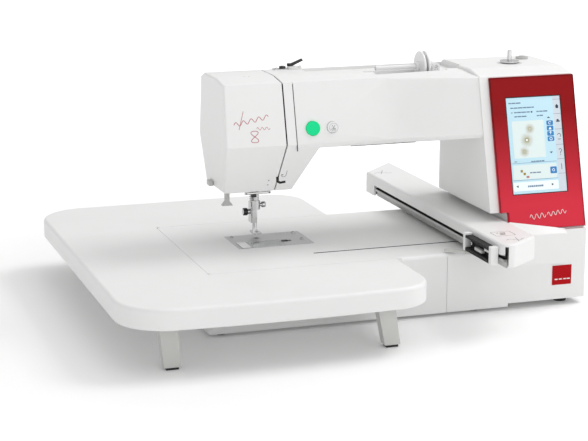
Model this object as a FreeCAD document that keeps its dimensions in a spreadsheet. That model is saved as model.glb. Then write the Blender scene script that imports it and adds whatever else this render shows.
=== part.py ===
"""Embroidery machine with its embroidery arm, carriage and slide-on extension table.

Frame: +Z up, floor at Z = 0, +X to the user's right, -Y towards the user. The origin is at the
centre of the machine's footprint. All lengths are millimetres.
"""
import FreeCAD, Part
import Sketcher
import math
import os
import re

V = FreeCAD.Vector
doc = FreeCAD.newDocument("embroidery_machine")

# ---------------------------------------------------------------- driving dimensions
DIMENSIONS = {
    # lower casing
    "bed_top": 78.3, "bed_left": -196, "bed_right": 190, "bed_front": -134, "bed_back": 113,
    "pan_low": 4, "side_low": 8, "wall": 3, "side_right": 295, "side_top": 97,
    # upper casing: arm, head and column
    "head_left": -152, "head_low": 150, "head_low_right": -60, "arm_low": 205, "arm_crease": 211,
    "arm_top": 288.5, "arm_top_edge": 284, "arm_front_top": -42, "arm_front_crease": -61.5,
    "head_front_low": -34, "body_back": 59, "head_back_low": 44,
    "column_left": 168, "column_foot": 122, "column_top": 291.5, "column_top_edge": 285.5,
    "face_split": -75, "split_half": 0.9, "split_y": 8,
    # leaning control panel
    "panel_y": -132.3, "panel_z": 100, "panel_tilt": 14.8, "panel_left": 180, "panel_right": 294.5,
    "panel_height": 190.5, "bezel": 4.2, "bezel_proud": 2.6, "screen_left": 199.6, "screen_right": 274.2,
    "screen_low": 44.2, "screen_high": 164.6,
    # stitching place
    "needle_x": -90, "needle_y": 18, "needle_tip": 87.3, "foot_low": 84, "presser_y": 34,
    "plate_left": -127.4, "plate_right": -28.4, "plate_front": -31, "plate_back": 38,
    "plate_thick": 2.5, "hook_y": -6, "hook_radius": 22,
    # drive
    "shaft_y": 10, "shaft_z": 234, "shaft_radius": 5, "belt_x": 283, "belt_width": 7,
    "motor_y": -20, "motor_z": 62, "wheel_radius": 33, "wheel_end": 326, "running_gap": 0.04,
    # embroidery arm and carriage
    "unit_left": 132, "unit_right": 188, "unit_low": 84, "unit_top": 112, "unit_front": -250,
    "unit_front_right": -208, "unit_back": 268, "unit_back_left": 211, "rail_y": -78.5,
    "rail_z": 50, "rail_radius": 4, "slot_left": -46.6, "slot_right": 185, "dock_left": 122,
    "dock_front": -226, "dock_back": -146, "dock_low": 86, "dock_high": 105,
    # spool and bobbin winder
    "pin_z": 290, "winder_x": 238, "winder_y": -18,
    # extension table
    "table_left": -326, "table_right": 41, "table_front": -264, "table_back": 261.5,
    "table_bow": 4, "table_low": 53, "table_skin": 4, "table_gap": 0.5, "corner_left": 60,
    "corner_right": 48, "leg_hinge": 63,
}
sheet = doc.addObject("Spreadsheet::Sheet", "dim")
for row, (alias, amount) in enumerate(DIMENSIONS.items(), start=1):
    sheet.set(f"A{row}", alias)
    sheet.set(f"B{row}", str(amount))
    sheet.setAlias(f"B{row}", alias)
doc.recompute()

NODES = []
WORD = re.compile(r"[a-z][a-z_0-9]*")


# ---------------------------------------------------------------- helpers
def bound(text):
    """An expression over the sheet's aliases, as FreeCAD reads it."""
    return WORD.sub(lambda m: "dim." + m[0] if m[0] in DIMENSIONS else m[0], str(text))


def amount_of(text):
    """The value of a sum of aliases and numbers."""
    total = 0.0
    for sign, term in re.findall(r"([+-]?)\s*([a-z_0-9.]+)", str(text)):
        size = DIMENSIONS[term] if term in DIMENSIONS else float(term)
        total += -size if sign == "-" else size
    return total


def difference(low, high):
    return f"({bound(high)}) - ({bound(low)})"


def node(piece, label):
    """Names a finished sub-part and puts it on the list that is written out."""
    piece.Label = label
    NODES.append(piece)
    return piece


def place(piece, x, y, z):
    for axis, text in zip("xyz", (x, y, z)):
        piece.setExpression(f"Placement.Base.{axis}", bound(text))


def box(x, y, z):
    """A box between two planes along each axis."""
    piece = doc.addObject("Part::Box", "block")
    for prop, span in zip(("Length", "Width", "Height"), (x, y, z)):
        piece.setExpression(prop, difference(*span))
    place(piece, x[0], y[0], z[0])
    return piece


def rod(axis, across, span, radius):
    """A cylinder along X, Y or Z; across holds its centre on the two other axes, in order."""
    piece = doc.addObject("Part::Cylinder", "rod")
    piece.setExpression("Radius", bound(radius))
    piece.setExpression("Height", difference(*span))
    turn = {"X": (V(0, 1, 0), 90), "Y": (V(1, 0, 0), -90), "Z": (V(0, 0, 1), 0)}[axis]
    piece.Placement = FreeCAD.Placement(V(), FreeCAD.Rotation(*turn))
    base = list(across)
    base.insert("XYZ".index(axis), span[0])
    place(piece, *base)
    return piece


def cone(across, span, low_radius, high_radius):
    """A round taper along Z."""
    piece = doc.addObject("Part::Cone", "taper")
    piece.setExpression("Radius1", bound(low_radius))
    piece.setExpression("Radius2", bound(high_radius))
    piece.setExpression("Height", difference(*span))
    place(piece, *across, span[0])
    return piece


def prism(plane, points, span):
    """A padded sketch: an outline on the XY, XZ or YZ plane, pushed along the third axis."""
    body = doc.addObject("PartDesign::Body", "profile")
    sketch = body.newObject("Sketcher::SketchObject", "outline")
    support = [f for f in body.Origin.OriginFeatures if f.Role == plane + "_Plane"]
    sketch.AttachmentSupport = [(support[0], "")]
    sketch.MapMode = "FlatFace"
    corners = [V(amount_of(a), amount_of(b), 0) for a, b in points]
    for i, corner in enumerate(corners):
        sketch.addGeometry(Part.LineSegment(corner, corners[(i + 1) % len(corners)]), False)
    for i in range(len(corners)):
        sketch.addConstraint(Sketcher.Constraint("Coincident", i, 2, (i + 1) % len(corners), 1))
    for i, point in enumerate(points):
        for kind, text in zip(("DistanceX", "DistanceY"), point):
            rule = Sketcher.Constraint(kind, -1, 1, i, 1, amount_of(text))
            number = sketch.addConstraint(rule)
            sketch.setExpression(f"Constraints[{number}]", bound(text))
    pad = body.newObject("PartDesign::Pad", "depth")
    pad.Profile = sketch
    pad.setExpression("Length", difference(*span))
    axis = {"XY": "z", "XZ": "y", "YZ": "x"}[plane]
    start = span[1] if plane == "XZ" else span[0]
    body.setExpression(f"Placement.Base.{axis}", bound(start))
    return body


def on_slope(x, depth, rise, y0="panel_y", z0="panel_z"):
    """A box on a leaning face: depth runs into the body, rise runs up the face."""
    piece = doc.addObject("Part::Box", "leaning_block")
    for prop, span in zip(("Length", "Width", "Height"), (x, depth, rise)):
        piece.setExpression(prop, difference(*span))
    tilt = "cos(panel_tilt)", "sin(panel_tilt)"
    piece.Placement = FreeCAD.Placement(V(), FreeCAD.Rotation(V(-1, 0, 0), 10))
    piece.setExpression("Placement.Rotation.Angle", bound("panel_tilt"))
    y = f"{y0} + ({depth[0]}) * {tilt[0]} + ({rise[0]}) * {tilt[1]}"
    z = f"{z0} - ({depth[0]}) * {tilt[1]} + ({rise[0]}) * {tilt[0]}"
    place(piece, x[0], y, z)
    return piece


def button(x, y, z, radius, depth):
    """A disc whose axis stands square to the leaning front face; depth runs into the body."""
    piece = doc.addObject("Part::Cylinder", "button")
    piece.setExpression("Radius", bound(radius))
    piece.setExpression("Height", difference(*depth))
    piece.Placement = FreeCAD.Placement(V(), FreeCAD.Rotation(V(-1, 0, 0), 10))
    piece.setExpression("Placement.Rotation.Angle", bound("90 + panel_tilt"))
    place(piece, x, f"{y} + ({depth[0]}) * cos(panel_tilt)", f"{z} - ({depth[0]}) * sin(panel_tilt)")
    return piece


def joined(*pieces):
    piece = doc.addObject("Part::MultiFuse", "joined")
    piece.Shapes = list(pieces)
    return piece


def group(*pieces):
    """Separate solids kept in one sub-part."""
    piece = doc.addObject("Part::Compound", "group")
    piece.Links = list(pieces)
    return piece


def cut(base, *tools):
    piece = doc.addObject("Part::Cut", "cut")
    piece.Base = base
    piece.Tool = tools[0] if len(tools) == 1 else joined(*tools)
    return piece


def common(first, second):
    piece = doc.addObject("Part::Common", "common")
    piece.Base = first
    piece.Tool = second
    return piece


def copy_of(piece):
    """A second reference to a piece, so that it can be used in another operation."""
    link = doc.addObject("Part::Compound", "again")
    link.Links = [piece]
    return link


def rounded(piece, radius, chosen):
    """Fillets the edges that chosen(edge) picks."""
    doc.recompute()
    fillet = doc.addObject("Part::Fillet", "rounded")
    fillet.Base = piece
    edges = [i for i, edge in enumerate(piece.Shape.Edges, start=1) if chosen(edge)]
    fillet.Edges = [(i, radius, radius) for i in edges]
    return fillet


def upright_at(*places):
    """Picks straight edges along Z at given X, Y places."""
    def chosen(edge):
        low, high = edge.Vertexes[0].Point, edge.Vertexes[-1].Point
        flat = math.hypot(low.x - high.x, low.y - high.y) < 0.01
        return flat and any(math.hypot(low.x - x, low.y - y) < 0.1 for x, y in places)
    return chosen


def outside(axis, low, high):
    """Picks edges that lie wholly between two planes across an axis."""
    def chosen(edge):
        limits = edge.BoundBox
        start, stop = getattr(limits, axis + "Min"), getattr(limits, axis + "Max")
        return start > low and stop < high
    return chosen


# ---------------------------------------------------------------- lower casing
def lower_casing():
    bed = box(("bed_left", "bed_right"), ("bed_front", "bed_back"), ("pan_low", "bed_top"))
    bed = rounded(bed, 6, upright_at((-196, -134), (-196, 113)))
    side = box(("bed_right", "side_right"), ("bed_front", "bed_back"), ("side_low", "side_top"))
    side = rounded(side, 10, upright_at((295, 113)))
    bed_room = box(("bed_left + wall", "bed_right + wall"), ("bed_front + wall", "bed_back - wall"),
                   ("pan_low", "bed_top - wall"))
    side_room = box(("bed_right + wall", "side_right - wall"),
                    ("bed_front + wall", "bed_back - wall"), ("side_low", "side_top - wall"))
    column_way = box(("bed_right + wall", "side_right - wall"),
                     ("bed_front + wall + 4", "body_back - wall"), ("side_low", "side_top + 1"))
    plate_seat = box(("plate_left", "plate_right"), ("plate_front", "plate_back"),
                     ("bed_top - plate_thick", 90))
    hook_window = box(("plate_left + 4", "plate_right - 4"), ("plate_front + 4", "plate_back - 4"),
                      (60, 90))
    arm_slot = box(("slot_left", "slot_right"), ("rail_y - 1.3", "rail_y + 1.3"), (60, 90))
    seam = box((106.6, 107.4), ("bed_front - 1", "bed_front + 0.9"), ("pan_low", "bed_top + 1"))
    edge_block = box(("table_right + 6", "bed_right"), ("bed_front", "bed_front + 5"),
                     ("bed_top - 5", "bed_top"))
    edge_round = rod("X", ("bed_front + 5", "bed_top - 5"), ("table_right", "bed_right + 5"), 5)
    edge_tool = cut(edge_block, edge_round)
    inlet = box(("side_right - 6", "side_right + 1"), (60, 90), (30, 54))
    switch = box(("side_right - 6", "side_right + 1"), (22, 46), (30, 54))
    shell = cut(joined(bed, side), bed_room, side_room, column_way, plate_seat, hook_window,
                arm_slot, seam, edge_tool, inlet, switch)
    node(shell, "base_shell")


def base_pan():
    outline = [("bed_left + wall", "pan_low"), ("bed_right + wall", "pan_low"),
               ("bed_right + wall", "side_low"), ("side_right - wall", "side_low"),
               ("side_right - wall", "side_low + 2"), ("bed_right + wall - 2", "side_low + 2"),
               ("bed_right + wall - 2", "pan_low + 2"), ("bed_left + wall", "pan_low + 2")]
    slab = prism("XZ", outline, ("bed_front + wall", "bed_back - wall"))
    node(slab, "base_pan")


def rubber_feet():
    places = [(-178, -116, "pan_low"), (-178, 95, "pan_low"), (150, -116, "pan_low"),
              (272, -112, "side_low"), (272, 92, "side_low")]
    feet = [cone((x, y), (0, top), 8, 10) for x, y, top in places]
    node(group(*feet), "rubber_feet")


# ---------------------------------------------------------------- upper casing
def arm_and_head(inset):
    """The arm and head block, or the same block drawn in by inset for its room."""
    i = inset
    front = [(f"head_left + 5 + {i}", f"head_low + {i}"), (f"head_left + {i}", "arm_crease"),
             (f"head_left + 3 + {i}", f"arm_top + 2 - {i}"),
             ("column_left + 12", f"arm_top + 2 - {i}"), ("column_left + 12", f"arm_low + {i}"),
             (f"head_low_right + 28 - {i}", f"arm_low + {i}"),
             (f"head_low_right - {i}", f"head_low + {i}")]
    side = [(f"head_front_low + {i}", f"head_low + {i}"), (f"arm_front_crease + {i}", "arm_crease"),
            (f"arm_front_top + {i}", f"arm_top_edge - {i}"), ("-8", f"arm_top - {i}"),
            ("45", f"arm_top - {i}"), (f"body_back - {i}", f"arm_top_edge - 1 - {i}"),
            (f"body_back - {i}", "arm_crease"), (f"head_back_low - {i}", f"head_low + {i}")]
    block = common(prism("XZ", front, (-80, 80)), prism("YZ", side, (-160, 185)))
    return rounded(block, 2.5, outside("X", -155, 179)) if inset == 0 else block


def arm_flare(inset):
    """Where the arm's front widens into the panel's plane, or the room inside that part."""
    i = inset
    arm_section = [(-25, 205 + i), (-58.5 + i, 205 + i), (-61.5 + i, 211), (-42 + i, 284 - i),
                   (-25, 286.2 - i)]
    column_section = [(-25, 211 + i), (-95 + i, 211 + i), (-98 + i, 217), (-80 + i, 285 - i),
                      (-25, 288 - i)]
    sections = ((60 + i, arm_section), (174 + 2 * i, column_section))
    flare = doc.addObject("Part::Feature", "flare")
    flare.Shape = Part.makeLoft([Part.makePolygon([V(x, y, z) for y, z in ring + ring[:1]])
                                 for x, ring in sections], True, True)
    if inset:
        return flare
    return rounded(flare, 2.5, lambda edge: edge.BoundBox.XLength > 100 and edge.BoundBox.YMax < -30)


def column(inset):
    """The column's block behind the panel, or its room."""
    i = inset
    side = [(f"panel_y + bezel_proud + {i}", "side_top"),
            (f"panel_y + bezel_proud + 49.8 + {i}", f"column_top_edge - {i}"),
            ("-50", f"column_top - {i}"), ("40", f"column_top - {i}"),
            (f"body_back - {i}", f"column_top_edge - {i}"), (f"body_back - {i}", "side_top")]
    block = prism("YZ", side, (f"column_left + {i}", f"side_right - {i}"))
    block = rounded(block, 26 - i, upright_at((168 + i, 59 - i)))
    block = rounded(block, 14 - i, upright_at((295 - i, 59 - i)))
    if inset == 0:
        block = rounded(block, 3, outside("Z", 98, 300))
    notch = box((f"column_left - 1", f"bed_right + {i}"), (-150, 80),
                ("side_top - 1", f"column_foot + {i}"))
    return cut(block, notch)


def upper_casing():
    outer = joined(arm_and_head(0), arm_flare(0), column(0))
    room = joined(arm_and_head(3.2), arm_flare(3.2), column(3.2))
    room = cut(room, box((-30, 175), (-18, 53), (279, 300)))
    shell = cut(outer, room,
                box((-26, 172), (-14, 49), (283, 300)),
                box((53, 151), (-25, 25), (265, 300)),
                on_slope(("panel_left", "side_right + 1"), (-4, "bezel"), (-3, "panel_height")),
                box(("head_left + 20", "head_low_right - 6"), (4, 42), (140, 160)),
                box((-137, -121), (8, 24), (140, 175)),
                box((-89, -73), (36, 62), (153, 175)),
                rod("X", ("shaft_y", "shaft_z"), ("side_right - 10", "side_right + 2"), 7),
                box((231, 251), (-25, -11), (280, 300)),
                box(("side_right - 8", "side_right + 1"), (-62, -34), (150, 166)),
                button(-40.6, -56.6, 229, 9.2, (-3, 8)),
                button(-15.4, -56.7, 229, 7.2, (-3, 8)),
                on_slope((-62.6, -61.4), (-1, 1.6), (-30, 100), "arm_front_crease", "arm_crease"))
    face = [(-170, 300), ("face_split - split_half", 300), ("face_split - split_half", 210),
            ("face_split - 9 - split_half", 140), (-170, 140)]
    body = [("face_split + split_half", 300), (310, 300), (310, 90), (-30, 90), (-60, 140),
            ("face_split - 9 + split_half", 140), ("face_split + split_half", 210)]
    face_zone = prism("XZ", face, (-170, 90))
    front_zone = prism("XZ", body, (-170, "split_y"))
    rear_zone = prism("XZ", body, ("split_y", 90))
    node(common(shell, face_zone), "face_cover")
    node(common(copy_of(shell), front_zone), "front_casing")
    node(common(copy_of(shell), rear_zone), "rear_casing")


def control_panel():
    bezel = cut(on_slope(("panel_left", "panel_right"), (0, "bezel"), (0, "panel_height")),
                on_slope(("screen_left - 0.6", "screen_right + 0.6"), (-1, "bezel + 1"),
                         ("screen_low - 0.6", "screen_high + 0.6")),
                on_slope(("panel_left - 1", "bed_right + 0.4"), (-1, "bezel + 1"), (-2, 23)))
    node(bezel, "panel_bezel")
    node(on_slope(("screen_left", "screen_right"), (0.8, "bezel"), ("screen_low", "screen_high")),
         "touch_screen")
    board = on_slope((193.5, 281), (8, 10), (36, 172))
    studs = [on_slope((x, x + 5), (skin, 8), (rise, rise + 5))
             for x in (195, 275) for rise, skin in ((38, 6.6), (165, 7.12))]
    node(joined(board, *studs), "main_board")


def console_cover():
    """A cover that ramps down from the embroidery arm's top to the foot of the panel."""
    left = [(-142, 56.5), (-142, 94.5), (-129.9, 111), (-134.2, 97.2), (-134.2, 56.5)]
    right = [(-142, 56.5), (-142, 94.5), (-133.4, 98.5), (-134.2, 97.2), (-134.2, 56.5)]
    shape = Part.makeLoft([Part.makePolygon([V(x, y, z) for y, z in ring + ring[:1]])
                           for x, ring in ((190, left), (265, right))], True, True)
    cover = doc.addObject("Part::Feature", "console")
    cover.Shape = shape
    node(rounded(cover, 3, lambda edge: edge.BoundBox.YMax < -141 and edge.BoundBox.ZMin > 90),
         "console_cover")


# ---------------------------------------------------------------- stitching place
def stitch_plate():
    low, high = "bed_top - plate_thick", "bed_top"
    plate = box(("plate_left + 0.3", "plate_right - 0.3"), ("plate_front + 0.3", "plate_back - 0.3"),
                (low, high))
    cover_seat = box((-122.5, -66), (-28.5, 3.5), (70, 90))
    needle_hole = rod("Z", ("needle_x", "needle_y"), (70, 90), 2.2)
    latch_slot = box((-65, -52), (-9.6, -3.6), (70, 90))
    node(cut(plate, cover_seat, needle_hole, latch_slot), "stitch_plate")
    node(box((-122, -66.5), (-28, 3), (low, high)), "hook_cover")
    node(box((-64.5, -57), (-9.2, -4), (low, "bed_top + 0.8")), "cover_release")


def hook_and_bobbin():
    centre = ("needle_x", "hook_y")
    cup = cut(rod("Z", centre, (52, 68), "hook_radius"),
              rod("Z", centre, (54, 70), "hook_radius - 2.5"))
    shaft = rod("Z", centre, (30, 53), 4)
    node(joined(cup, shaft), "rotary_hook")
    holder = cut(rod("Z", centre, (54.4, 70.5), 19), rod("Z", centre, (56.4, 72), 11))
    tab = box(("needle_x - 30", "needle_x - 16"), ("hook_y - 4", "hook_y + 4"), (68.8, 70.5))
    tab_room = rod("Z", centre, (56.4, 72), 18.5)
    node(joined(holder, cut(tab, tab_room)), "bobbin_holder")
    flanges = [rod("Z", centre, (low, low + 1), 10.4) for low in (57, 67.5)]
    hub = rod("Z", centre, (57, 68.5), 4.5)
    node(cut(joined(hub, *flanges), rod("Z", centre, (50, 72), 3)), "bobbin")


def needle_group():
    centre = ("needle_x", "needle_y")
    node(rod("Z", centre, (127, 262), 3.2), "needle_bar")
    screw = rod("X", ("needle_y", 121.5), ("needle_x + 4.6", "needle_x + 11"), 2.2)
    clamp = joined(rod("Z", centre, (116, 127), 5), screw)
    node(clamp, "needle_clamp")
    shank = rod("Z", centre, (104, 116), 1)
    point = cone(centre, ("needle_tip", 104), 0.15, 0.8)
    node(joined(shank, point), "needle")


def presser_group():
    node(rod("Z", ("needle_x", "presser_y"), (108, 255), 3), "presser_bar")
    bar_room = rod("Z", ("needle_x", "presser_y"), (100, 130), 3)
    shank = cut(box(("needle_x - 4", "needle_x + 4"), ("presser_y - 6", "presser_y + 5"),
                    (96, 122)), bar_room)
    stem = box(("needle_x - 1.6", "needle_x + 1.6"), ("presser_y - 6", "presser_y - 3.5"),
               ("foot_low", 97))
    sole = box(("needle_x - 5", "needle_x + 5"), ("needle_y - 6", "presser_y - 3.5"),
               ("foot_low", "foot_low + 2.5"))
    eye = rod("Z", ("needle_x", "needle_y"), (80, 90), 2.4)
    screw = rod("X", ("presser_y - 1", 110), ("needle_x - 13", "needle_x - 4"), 3.4)
    node(joined(shank, stem, cut(sole, eye), screw), "embroidery_foot")
    handle = [(42, 162), (50, 162.5), (82, 166), (83, 171), (50, 170), (42, 170)]
    node(joined(prism("YZ", handle, (-84, -78)), rod("X", (42, 166), (-84, -78), 4)),
         "presser_lifter")


def thread_parts():
    outline = [(-14, 222), (-4, 218), (-2, 228), (-34, 262), (-39, 262), (-37, 256)]
    lever = prism("YZ", outline, ("face_split - 0.5", "face_split + 0.5"))
    node(joined(lever, rod("X", (-9, 222), ("face_split - 0.5", "face_split + 0.5"), 5)),
         "take_up_lever")
    discs = [rod("X", (-18, 262), (low, low + 1.5), 11) for low in (-100, -97)]
    pin = rod("X", (-18, 262), (-108, -92), 3)
    node(joined(pin, *discs), "tension_unit")
    post = box((-131.5, -126.5), (12.5, 19.5), (129, 200))
    flare = prism("XZ", [(-136, 124), (-122, 124), (-126.5, 130), (-131.5, 130)], (12.5, 19.5))
    node(joined(post, flare), "needle_threader")
    base = rod("Z", (-34, 38), ("arm_top", "arm_top + 3"), 8)
    hook = rod("Z", (-27, 32), ("arm_top", "arm_top + 5"), 2)
    node(joined(base, hook, box((-36, -27), (30, 40), ("arm_top", "arm_top + 2"))), "top_guide")
    arm = [(-38, 291.8), (-34, 291.8), (-20, 298), (-21.5, 300.5), (-36, 295), (-38, 295)]
    node(joined(prism("XZ", arm, (41.5, 44.5)), rod("Z", (-38, 43), (291.8, 295), 3)),
         "guide_lever")
    node(box((-153, -147.8), (11, 24), (151, 157.5)), "thread_cutter")


# ---------------------------------------------------------------- frame and main drive
def inner_frame():
    arm = box((-140, 250), (28, 50), (214, 256))
    post = box((215, 250), (28, 50), (10, 256))
    bed = box((-140, 250), (28, 50), (10, 30))
    lugs = [box(span, ("shaft_y - 11", 28), ("shaft_z - 11", "shaft_z + 11"))
            for span in ((-56, -44), (226, 240))]
    heads = [box((-106, -74), ("needle_y - 8", 28), span) for span in ((180, 192), (238, 250))]
    heads.append(box((-106, -74), (28, 42), (178, 256)))
    hook_arm = box((-104, -76), (-16, 50), (30, 44))
    saddle = cut(box((226, 246), (-36, 28), (30, "motor_z")),
                 rod("X", ("motor_y", "motor_z"), (220, 260), 20))
    bores = [rod("X", ("shaft_y", "shaft_z"), (-70, 260), 7.5)]
    bores += [rod("Z", ("needle_x", "needle_y"), (170, 265), "3.2 + running_gap")]
    bores += [rod("Z", ("needle_x", "presser_y"), (170, 265), "3 + running_gap")]
    bores += [rod("Z", ("needle_x", "hook_y"), (20, 60), "4 + running_gap")]
    frame = cut(joined(arm, post, bed, hook_arm, saddle, *lugs, *heads), *bores)
    bushes = [cut(rod("X", ("shaft_y", "shaft_z"), span, 7.5),
                  rod("X", ("shaft_y", "shaft_z"), (-70, 260), "shaft_radius + running_gap"))
              for span in ((-57, -43), (225, 241))]
    node(group(frame, *bushes), "inner_frame")


def hull_of_circles(first, second, width):
    """The band round two circles (y, z, radius) in a plane across X, as one solid."""
    (y1, z1, r1), (y2, z2, r2) = first, second
    reach = math.hypot(y2 - y1, z2 - z1)
    heading = math.atan2(z2 - z1, y2 - y1)
    lean = math.acos((r1 - r2) / reach)
    corners = []
    for y, z, r, side in ((y1, z1, r1, 1), (y2, z2, r2, 1), (y2, z2, r2, -1), (y1, z1, r1, -1)):
        turn = heading + side * lean
        corners.append(V(width[0], y + r * math.cos(turn), z + r * math.sin(turn)))
    span = V(width[1] - width[0], 0, 0)
    shape = Part.Face(Part.makePolygon(corners + corners[:1])).extrude(span)
    for y, z, r in (first, second):
        shape = shape.fuse(Part.makeCylinder(r, span.x, V(width[0], y, z), V(1, 0, 0)))
    return shape.removeSplitter()


def main_drive():
    axis = ("shaft_y", "shaft_z")
    node(rod("X", axis, (-68, 318), "shaft_radius"), "main_shaft")
    shaft_room = rod("X", axis, (270, 330), "shaft_radius")
    pulley = rod("X", axis, ("belt_x", "belt_x + belt_width"), 26)
    node(cut(pulley, shaft_room), "shaft_pulley")
    rim = cut(rod("X", axis, (298, "wheel_end"), "wheel_radius"),
              rod("X", axis, (301, "wheel_end + 1"), 26))
    hub = rod("X", axis, (298, 318), 10)
    wheel = cut(joined(rim, hub), copy_of(shaft_room))
    node(wheel, "handwheel")
    motor = rod("X", ("motor_y", "motor_z"), (222, 276), 20)
    nose = rod("X", ("motor_y", "motor_z"), (276, 279), 9)
    shaft_hole = rod("X", ("motor_y", "motor_z"), (268, 290), "3 + running_gap")
    node(cut(joined(motor, nose), shaft_hole), "main_motor")
    spindle = rod("X", ("motor_y", "motor_z"), (268.2, "belt_x + belt_width + 0.5"), 3)
    wheel = rod("X", ("motor_y", "motor_z"), ("belt_x", "belt_x + belt_width"), 8)
    node(joined(spindle, wheel), "motor_pulley")
    x = (DIMENSIONS["belt_x"], DIMENSIONS["belt_x"] + DIMENSIONS["belt_width"])
    low = (DIMENSIONS["motor_y"], DIMENSIONS["motor_z"])
    high = (DIMENSIONS["shaft_y"], DIMENSIONS["shaft_z"])
    outer = hull_of_circles((*low, 10), (*high, 28), x)
    inner = hull_of_circles((*low, 8.4), (*high, 26.4), x)
    belt = doc.addObject("Part::Feature", "belt")
    belt.Shape = outer.cut(inner)
    node(belt, "drive_belt")


# ---------------------------------------------------------------- controls on the casing
def controls():
    node(button(-40.6, -56.6, 229, 8.8, (-2.2, 6)), "start_button")
    node(button(-15.4, -56.7, 229, 6.8, (-1.6, 6)), "cutter_button")
    inlet = cut(box(("side_right - 18", "side_right + 0.6"), (60.5, 89.5), (30.5, 53.5)),
                box(("side_right - 14", "side_right + 2"), (65, 85), (35, 49)))
    pins = [box(("side_right - 14", "side_right - 4"), (low, low + 2), (43, 45))
            for low in (69, 79)]
    frame = cut(box(("side_right - 5.5", "side_right + 0.6"), (22.5, 45.5), (30.5, 53.5)),
                box(("side_right - 6", "side_right + 2"), (25.2, 42.8), (34, 50)))
    node(group(joined(inlet, *pins), frame), "power_inlet")
    rocker = [("side_right - 4", 26.6), ("side_right + 0.4", 26.6), ("side_right - 0.8", 34),
              ("side_right + 2", 41.4), ("side_right - 4", 41.4)]
    pivot = rod("Z", ("side_right - 3", 34), (34.1, 49.9), 1.2)
    node(joined(prism("XY", rocker, (34.5, 49.5)), pivot), "power_switch")
    ports = cut(box(("side_right - 7.5", "side_right + 0.3"), (-61.5, -34.5), (150.5, 165.5)),
                *[box(("side_right - 6", "side_right + 1"), (low, low + 7), (152, 164))
                  for low in (-59, -45)])
    node(ports, "usb_ports")
    node(box((16, 92), (-52, -40), ("arm_low - 1.5", "arm_low")), "work_lamp")


def spool_and_winder():
    pin = rod("X", (0, "pin_z"), (62, 140), 3)
    foot = rod("Y", (140, "pin_z"), (-6, 6), 5)
    pivot = rod("Y", (140, "pin_z"), (-10, 10), 2)
    node(joined(pin, foot, pivot), "spool_pin")
    posts = [joined(box((135.2, 144.8), span, (283, "pin_z")), rod("Y", (140, "pin_z"), span, 4.8))
             for span in ((-11, -6.4), (6.4, 11))]
    tray = cut(box((53.2, 150.8), (-24.8, 24.8), (266, 283)), box((56, 133.5), (-22, 22), (269, 290)))
    node(cut(joined(tray, *posts), rod("Y", (140, "pin_z"), (-12, 12), "2 + running_gap")),
         "spool_tray")
    disc = joined(rod("X", (0, "pin_z"), (121, 124), 19), rod("X", (0, "pin_z"), (127, 130), 19),
                  rod("X", (0, "pin_z"), (116, 130), 6))
    node(cut(disc, rod("X", (0, "pin_z"), (50, 150), 3.1)), "spool_holder")
    winder = cut(joined(box((232, 244), (-24, -12), (285, "column_top + 1")),
                        box((228, 248), (-30, -6), (285, 288))),
                 rod("Z", ("winder_x", "winder_y"), (280, 300), 3.1))
    node(winder, "winder_arm")
    spindle = joined(rod("Z", ("winder_x", "winder_y"), (276, 307.5), 3),
                     rod("Z", ("winder_x", "winder_y"), ("column_top + 1.2", "column_top + 3.2"), 12))
    node(spindle, "winder_spindle")
    stopper = joined(rod("Z", (270, 12), ("column_top", "column_top + 3"), 8),
                     rod("Z", (270, 12), ("column_top", "column_top + 4"), 4))
    node(stopper, "winder_stopper")


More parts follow.
